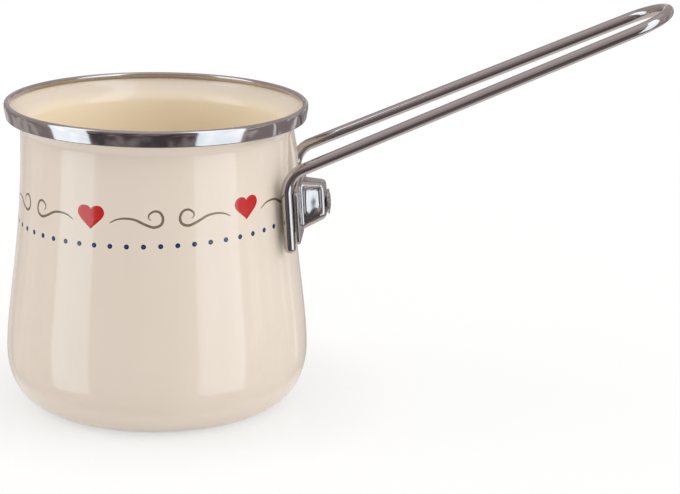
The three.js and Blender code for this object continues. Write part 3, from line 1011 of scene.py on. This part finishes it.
class COFFEEPOT_OT_fixing(bpy.types.Operator):
    """Add the washer and the screw, and finish the boss behind them"""

    bl_idname = "coffee_pot.fixing"
    bl_label = "Screw and Washer"

    def execute(self, context):
        handle = context.scene.handle_sizes
        finish = context.scene.pot_finishes
        seat = HandleSeat(context.scene.pot_sizes, handle)
        outward = seat.matrix @ Matrix.Rotation(math.pi / 2, 4, "Y")
        steel = polished_steel("Polished turned stainless", finish, lines_up, roughness=0.14)
        bore = handle.screw_radius + handle.seat_gap
        bevel = handle.washer_bevel
        back = seat.face + handle.seat_gap
        front = back + handle.washer_thickness
        rim = handle.washer_radius - bevel
        bevel_steps = 4
        profile = [
            Vector((bore, back)),
            *arc(Vector((rim, back + bevel)), bevel, -90, 0, bevel_steps),
            *arc(Vector((rim, front - bevel)), bevel, 0, 90, bevel_steps),
            Vector((bore, front)),
            Vector((bore, back)),
        ]
        washer_steps = 64
        washer = turned("bright_washer", profile, washer_steps, steel)
        washer.transform(outward)
        piece("bright_washer", washer, "washer")

        screw = self.screw_mesh(handle, front + handle.head_gap)
        screw.transform(seat.matrix)
        screw.materials.append(steel)
        piece("domed_screw", screw, "screw")

        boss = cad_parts["threaded_boss"]
        boss.data.materials.clear()
        boss.data.materials.append(zinc_plate("Zinc-plated steel", finish.zinc))
        return {"FINISHED"}

    def screw_mesh(self, handle, head_back):
        """A shaft, a low domed head, and a cross recess that narrows as it goes in."""
        shaft = handle.screw_radius
        head = handle.head_radius
        end = handle.screw_tail
        arm = handle.recess_length / 2
        half = handle.recess_width / 2
        floor = head_back + handle.head_height - handle.recess_depth
        chamfer = 0.2 * MM
        relief = 0.05 * MM
        lip = 0.06 * MM
        floor_rise = 0.15 * MM
        clear = 1.12 * arm  # a ring on the dome just outside the recess
        outside, narrowed, floor_middle = 1.1, 0.75, 0.3  # rings, as shares of the recess's outline
        end_middle = 0.6  # a ring on the shaft's end, as a share of its radius
        corner_steps = 4
        tip = math.atan2(half, arm)
        corner = [tip + (math.pi / 4 - tip) * i / corner_steps for i in range(corner_steps + 1)]
        quarter = [0, *corner, *[math.pi / 2 - a for a in reversed(corner[:-1])]]
        turns = [a + side * math.pi / 2 for side in range(4) for a in quarter]

        def cross(turn):
            folded = turn % (math.pi / 2)
            folded = min(folded, math.pi / 2 - folded)
            return min(arm / math.cos(folded), half / max(math.sin(folded), 1e-6))

        def dome(radius):
            return head_back + handle.head_height * math.sqrt(max(1 - (radius / head) ** 2, 0))

        def ring(place):
            points = []
            for a in turns:
                radius, x = place(a)
                points.append(Vector((x, radius * math.cos(a), radius * math.sin(a))))
            return points

        def circle(radius, x):
            return ring(lambda a: (radius, x))

        rings = [
            circle(shaft * end_middle, end),
            circle(shaft - chamfer, end),
            circle(shaft, end + chamfer),
            circle(shaft, head_back),
            circle(head - relief, head_back),
            *[circle(head * share, dome(head * share)) for share in (1, 0.985, 0.95, 0.9, 0.8)],
            ring(lambda a: (max(cross(a) * outside, clear), dome(clear))),
            ring(lambda a: (cross(a) + lip, dome(cross(a) + lip))),
            ring(lambda a: (cross(a), dome(cross(a)) - lip)),
            ring(lambda a: (cross(a) * narrowed, floor + floor_rise)),
            ring(lambda a: (cross(a) * floor_middle, floor)),
        ]
        return mesh_from("domed_screw", *skin(rings))


# The print


def heart_plate(film):
    """A heart above the dotted line: a thin plate of rings within its outline.

    The outline is drawn in millimetres from the heart's middle and the dotted line.
    """
    dip, point, middle = Vector((0, 11.0)), Vector((0, 4.9)), Vector((0, 9.2))
    crown, side = Vector((2.3, 12.15)), Vector((4.5, 9.9))
    steps = 10
    right = []
    for a, b, c, d in (
        (dip, Vector((0.45, 11.9)), Vector((1.4, 12.15)), crown),
        (crown, Vector((3.6, 12.15)), Vector((4.5, 11.2)), side),
        (side, Vector((4.5, 8.4)), Vector((2.2, 7.0)), point),
    ):
        right += [cubic(a, b, c, d, i / steps)[0] for i in range(steps)]
    left = [Vector((-p.x, p.y)) for p in reversed(right[1:])]
    outline = [*right, point, *left]
    rings = []
    for share, depth in (
        (0.01, -1), (0.5, -1), (1, 0), (0.97, 0.8), (0.85, 1), (0.6, 1), (0.3, 1), (0.01, 1),
    ):
        ring = [middle.lerp(p, share) * MM for p in outline]
        rings.append([(p.x, p.y, depth * film) for p in ring])
    return mesh_from("heart", *skin(rings))


def scroll_path(side, stroke):
    """One scroll beside a heart: a tail that rises, runs down and curls back on itself.

    Its points are in millimetres from the heart's middle and the dotted line.
    """
    points = [
        (6.25, 7.1), (8.2, 8.15), (10.8, 8.65), (14.0, 8.3), (17.3, 6.75), (19.9, 5.9),
        (22.0, 6.7), (22.55, 8.6), (21.6, 10.4), (19.9, 10.8), (18.4, 9.8), (18.3, 8.7), (19.0, 8.1),
    ]
    steps = 6
    thin = 0.3
    taper_end = 0.95
    fullness = 0.7
    curve = spline([Vector(p) * MM for p in points], steps)
    last = len(curve) - 1
    widths = []
    for i in range(last + 1):
        swell = math.sin(math.pi * min(i / last / taper_end, 1)) ** fullness
        widths.append(stroke / 2 * (thin + (1 - thin) * swell))
    return polyline("scroll", [(side * p.x, p.y, 0) for p in curve], bar_radius=widths)


class COFFEEPOT_OT_print(bpy.types.Operator):
    """Print the hearts, the scrolls and the dotted line on the wall"""

    bl_idname = "coffee_pot.print"
    bl_label = "Print"

    def execute(self, context):
        sizes = context.scene.print_sizes
        finish = context.scene.pot_finishes
        film = sizes.film
        tree = print_tree()
        band = {
            "Wall": bpy.data.objects["enamel_pot"],
            "Radius": sizes.wrap_radius,
            "Line": sizes.line_height,
            "Rise": sizes.tilt_out,
            "Slant": sizes.tilt_side,
        }
        dots = {
            "Count": sizes.dot_count,
            "First": sizes.dot_first * sizes.wrap_radius,
            "Step": -sizes.dot_step * sizes.wrap_radius,
        }
        hearts = {
            "Count": sizes.heart_count,
            "First": sizes.heart_first * sizes.wrap_radius,
            "Step": -sizes.heart_step * sizes.wrap_radius,
        }

        blue = dot_print("Blue fired print", finish.blue_pale, finish.blue)
        dot_sides = 20
        profile = [Vector((0, -film)), Vector((sizes.dot_radius, 0))]
        for share in (0.95, 0.85, 0.7, 0.5, 0.3, 0.02):
            profile.append(Vector((sizes.dot_radius * share, film * math.sqrt(1 - share**4))))
        profile.append(Vector((0, film)))
        dot = turned("dot", profile, dot_sides, blue)
        mark(dot, rim=[v.co.xy.length / sizes.dot_radius for v in dot.vertices])
        piece("print_dots", run_tree(tree, dot, **band, **dots, Material=blue))

        red = fired_print("Red fired print", finish.red, finish.red_deep)
        heart = heart_plate(film)
        piece("print_hearts", run_tree(tree, heart, **band, **hearts, Material=red))

        brown = fired_print("Brown fired print", finish.brown, finish.brown_deep)
        stroke_sides = 10
        flatness = film / (sizes.stroke / 2)
        for name, side in (("print_scrolls_right", 1), ("print_scrolls_left", -1)):
            path = scroll_path(side, sizes.stroke)
            stroke = run_tree(bar_tree(), path, Sides=stroke_sides, Flatness=flatness, Material=brown)
            piece(name, run_tree(tree, stroke, **band, **hearts, Material=brown))
        return {"FINISHED"}


# The stage


def seen_rays(tree):
    """1 for rays that see the background: from the camera, from metal and through glass."""
    path = add(tree, "ShaderNodeLightPath").outputs
    mirror = add(
        tree, "ShaderNodeMath",
        {0: path["Is Glossy Ray"], 1: path["Is Transmission Ray"]}, operation="MAXIMUM",
    )
    return add(tree, "ShaderNodeMath", {0: path["Is Camera Ray"], 1: mirror}, operation="MAXIMUM")


class COFFEEPOT_OT_stage(bpy.types.Operator):
    """Set the floor, the light and the camera"""

    bl_idname = "coffee_pot.stage"
    bl_label = "Stage"

    def execute(self, context):
        stage = context.scene.pot_stage
        context.scene.view_settings.view_transform = "Standard"
        self.camera(context, stage)
        self.world(context, stage)
        self.floor(stage)
        self.surround(stage)
        # The softboxes show only in reflections, and the key and the fill show in none
        cool = stage.softbox_colour[:3]
        for lamp in (
            self.light(stage, "softbox_right", stage.softbox, cool, turn=49, spread=38, low=-27, high=72),
            self.light(stage, "softbox_left", stage.softbox, cool, turn=-69, spread=33, low=-27, high=52),
        ):
            lamp.visible_diffuse = False
        white = WHITE[:3]
        for lamp in (
            self.light(stage, "key", stage.key, white, turn=70, spread=60, low=12, high=45),
            self.light(stage, "fill", stage.fill, white, turn=-95, spread=34, low=12, high=45),
        ):
            lamp.visible_glossy = False
        return {"FINISHED"}

    def toward(self, stage, turn, rise):
        """Unit direction from the pot, turned from the camera's side to the right, and raised."""
        place = stage.camera_place
        facing = math.atan2(place[1], place[0]) + math.radians(turn)
        level = math.cos(math.radians(rise))
        return Vector((
            math.cos(facing) * level,
            math.sin(facing) * level,
            math.sin(math.radians(rise)),
        ))

    def camera(self, context, stage):
        """A long lens at the photograph's viewing angle."""
        data = bpy.data.cameras.new("Camera")
        data.sensor_width = 36
        data.lens = stage.lens
        camera = bpy.data.objects.new("Camera", data)
        context.scene.collection.objects.link(camera)
        sight = Vector((
            math.sin(stage.heading) * math.cos(stage.pitch),
            math.cos(stage.heading) * math.cos(stage.pitch),
            -math.sin(stage.pitch),
        ))
        right = sight.cross(Vector((0, 0, 1))).normalized()
        up = right.cross(sight)
        rolled_right = right * math.cos(stage.roll) + up * math.sin(stage.roll)
        rolled_up = up * math.cos(stage.roll) - right * math.sin(stage.roll)
        turn = Matrix((rolled_right, rolled_up, -sight)).transposed()
        camera.matrix_world = Matrix.Translation(stage.camera_place) @ turn.to_4x4()
        context.scene.camera = camera

    def world(self, context, stage):
        """An even dome of light that is seen as white."""
        world = bpy.data.worlds.new("Studio")
        context.scene.world = world
        world.use_nodes = True
        tree = world.node_tree
        tree.nodes.clear()
        light = add(tree, "ShaderNodeBackground", {"Color": WHITE, "Strength": stage.dome})
        white = add(tree, "ShaderNodeBackground", {"Color": WHITE, "Strength": 1.0})
        mix = add(tree, "ShaderNodeMixShader", {0: seen_rays(tree), 1: light, 2: white})
        add(tree, "ShaderNodeOutputWorld", {"Surface": mix})

    def floor(self, stage):
        """A pale floor that is seen as white, keeps the pot's shadow and mirrors its foot."""
        half = 4.0
        shadow_start, shadow_end, shadow_white = 60 * MM, 420 * MM, 0.72
        mirror_start, mirror_end, mirror_share = 38 * MM, 80 * MM, 0.16
        corners = [(-half, -half, 0), (half, -half, 0), (half, half, 0), (-half, half, 0)]
        floor = keep("floor", mesh_from("floor", corners, faces=[(0, 1, 2, 3)]))
        floor.visible_glossy = False
        material, tree = new_material("Pale studio floor")
        matt = add(tree, "ShaderNodeBsdfDiffuse", {"Color": stage.floor_colour})
        white = add(tree, "ShaderNodeEmission", {"Color": WHITE, "Strength": 1.0})
        place = add(tree, "ShaderNodeTexCoord").outputs["Object"]
        reach = add(tree, "ShaderNodeVectorMath", {0: place}, operation="LENGTH")
        sweep = add(
            tree, "ShaderNodeMapRange", {0: reach, 1: shadow_start, 2: shadow_end, 3: shadow_white, 4: 1.0}
        )
        share = add(tree, "ShaderNodeMath", {0: seen_rays(tree), 1: sweep}, operation="MULTIPLY")
        pale = add(tree, "ShaderNodeMixShader", {0: share, 1: matt, 2: white})
        fade = add(
            tree, "ShaderNodeMapRange", {0: reach, 1: mirror_start, 2: mirror_end, 3: mirror_share, 4: 0.0}
        )
        mirror = add(tree, "ShaderNodeBsdfGlossy", {"Color": WHITE, "Roughness": 0.08})
        polished = add(tree, "ShaderNodeMixShader", {0: fade, 1: pale, 2: mirror})
        add(tree, "ShaderNodeOutputMaterial", {"Surface": polished})
        floor.data.materials.append(material)

    def surround(self, stage):
        """A studio all round, seen only in the steel and the gloss of the enamel.

        It is dark behind the camera, pale at the sides and above, and the table shows white below.
        Its layers go by an uneven cloth, or by the cosine of the angle to the front, the right,
        the top, or the table low behind the pot.
        """
        far = 8.0
        rings = []
        for rise in range(-85, 86, 5):
            rings.append([self.toward(stage, turn, rise) * far for turn in range(0, 360, 5)])
        surround = keep("surround", mesh_from("surround", *skin(rings)))
        surround.visible_camera = False
        surround.visible_diffuse = False
        surround.visible_shadow = False
        material, tree = new_material("Studio surround")
        place = add(tree, "ShaderNodeTexCoord").outputs["Object"]
        way = add(tree, "ShaderNodeVectorMath", {0: place}, operation="NORMALIZE")
        front, right, up, behind = [
            add(
                tree, "ShaderNodeVectorMath",
                {0: way, 1: self.toward(stage, turn, rise)}, operation="DOT_PRODUCT",
            )
            for turn, rise in ((0, 0), (90, 0), (0, 90), (180, -70))
        ]
        cloth = add(tree, "ShaderNodeTexNoise", {"Vector": way, "Scale": 5.0, "Detail": 2.0})
        dark = laid_over(tree, cloth, 0.4, 0.65, stage.dark, stage.dark_soft)
        bright = laid_over(tree, up, -0.38, -0.25, stage.side_left, stage.side_right)
        sides = laid_over(tree, right, -0.6, 0.6, stage.side_left, bright)
        uneven = laid_over(tree, cloth, 0.5, 0.6, stage.dark_soft, sides)
        level = laid_over(tree, front, 0.1, 0.6, uneven, dark)
        raised = laid_over(tree, up, 0.0, 0.45, level, stage.wall)
        topped = laid_over(tree, up, 0.72, 0.85, raised, stage.ceiling)
        tint = laid_over(tree, behind, 0.6, 0.72, topped, stage.table)
        glow = add(tree, "ShaderNodeEmission", {"Color": tint, "Strength": 1.0})
        add(tree, "ShaderNodeOutputMaterial", {"Surface": glow})
        surround.data.materials.append(material)

    def light(self, stage, name, brightness, tint, turn, spread, low, high):
        """A tall soft light, given by the angles in degrees that it fills as the pot sees it."""
        far = 1.5
        middle = self.toward(stage, turn, 0) * far
        bottom = far * math.tan(math.radians(low))
        top = far * math.tan(math.radians(high))
        data = bpy.data.lights.new(name, "AREA")
        data.shape = "RECTANGLE"
        data.size = 2 * far * math.tan(math.radians(spread / 2))
        data.size_y = top - bottom
        data.energy = brightness * math.pi * data.size * data.size_y
        data.color = tint
        lamp = bpy.data.objects.new(name, data)
        bpy.context.scene.collection.objects.link(lamp)
        lamp.location = (middle.x, middle.y, (top + bottom) / 2)
        lamp.rotation_mode = "QUATERNION"
        lamp.rotation_quaternion = (-middle).to_track_quat("-Z", "Y")
        return lamp


class COFFEEPOT_PT_build(bpy.types.Panel):
    """Lists the pot's pieces and their sizes"""

    bl_idname = "COFFEEPOT_PT_build"
    bl_label = "Coffee Pot"
    bl_space_type = "VIEW_3D"
    bl_region_type = "UI"
    bl_category = "Coffee Pot"

    def draw(self, context):
        for operator in OPERATORS:
            self.layout.operator(operator.bl_idname)
        for label, _ in GROUPS:
            box = self.layout.box()
            group = getattr(context.scene, label)
            for name in group.__annotations__:
                box.prop(group, name)


GROUPS = (
    ("pot_sizes", PotSizes),
    ("handle_sizes", HandleSizes),
    ("print_sizes", PrintSizes),
    ("pot_finishes", Finishes),
    ("pot_stage", StageSettings),
)
OPERATORS = (
    COFFEEPOT_OT_pot,
    COFFEEPOT_OT_rim,
    COFFEEPOT_OT_pad,
    COFFEEPOT_OT_bracket,
    COFFEEPOT_OT_handle,
    COFFEEPOT_OT_fixing,
    COFFEEPOT_OT_print,
    COFFEEPOT_OT_stage,
)


def register():
    for name, group in GROUPS:
        bpy.utils.register_class(group)
        setattr(bpy.types.Scene, name, PointerProperty(type=group))
    for operator in OPERATORS:
        bpy.utils.register_class(operator)
    bpy.utils.register_class(COFFEEPOT_PT_build)


def unregister():
    bpy.utils.unregister_class(COFFEEPOT_PT_build)
    for operator in reversed(OPERATORS):
        bpy.utils.unregister_class(operator)
    for name, group in reversed(GROUPS):
        delattr(bpy.types.Scene, name)
        bpy.utils.unregister_class(group)


def main():
    register()
    bpy.ops.coffee_pot.pot()
    bpy.ops.coffee_pot.rim()
    bpy.ops.coffee_pot.pad()
    bpy.ops.coffee_pot.bracket()
    bpy.ops.coffee_pot.handle()
    bpy.ops.coffee_pot.fixing()
    bpy.ops.coffee_pot.print()
    bpy.ops.coffee_pot.stage()


if __name__ == "__main__":
    main()
